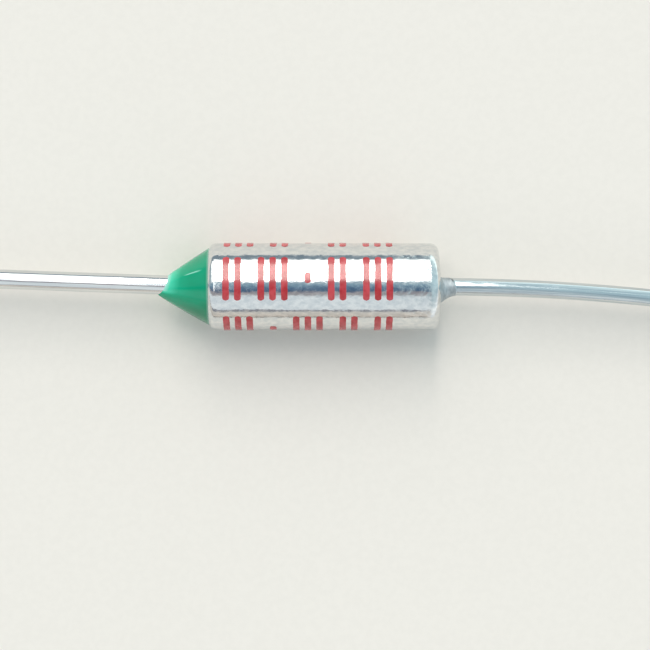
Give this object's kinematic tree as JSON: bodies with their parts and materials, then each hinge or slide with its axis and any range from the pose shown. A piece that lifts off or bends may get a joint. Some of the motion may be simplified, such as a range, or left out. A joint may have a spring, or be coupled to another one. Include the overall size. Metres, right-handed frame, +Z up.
{
  "type": "thermal fuse",
  "caption": "Axial thermal fuse: bright plated case sealed by a green resin cone, with a straight isolated lead, a bent case lead, and a pellet, springs and contacts inside.",
  "frame": {"origin": "middle of the case's axis", "axes": "+X along the case toward the closed end and the bent case lead, +Z up; the part lies on a surface 2 mm below the axis, on its case and the case lead's cut end"},
  "size_m": [0.0693, 0.0075, 0.004],
  "materials": {
    "tinned_case": "drawn brass with bright tin plating",
    "tinned_lead": "drawn copper wire with bright tin plating",
    "pellet_compound": "pressed organic compound",
    "disc_brass": "stamped brass",
    "spring_steel": "drawn spring wire",
    "contact_silver": "stamped copper alloy with silver plating",
    "bushing_ceramic": "unglazed fired ceramic",
    "seal_resin": "cured green epoxy resin, glossy",
    "marking_ink": "red pad-printed ink on the case"
  },
  "bodies": {
    "root": {"case": "tinned_case", "case_lead": "tinned_lead", "thermal_pellet": "pellet_compound", "pellet_disc": "disc_brass", "compression_spring": "spring_steel", "contact_disc": "disc_brass", "star_contact": "contact_silver", "trip_spring": "spring_steel", "ceramic_bushing": "bushing_ceramic", "isolated_lead": "tinned_lead", "epoxy_seal": "seal_resin"}
  },
  "joints": []
}
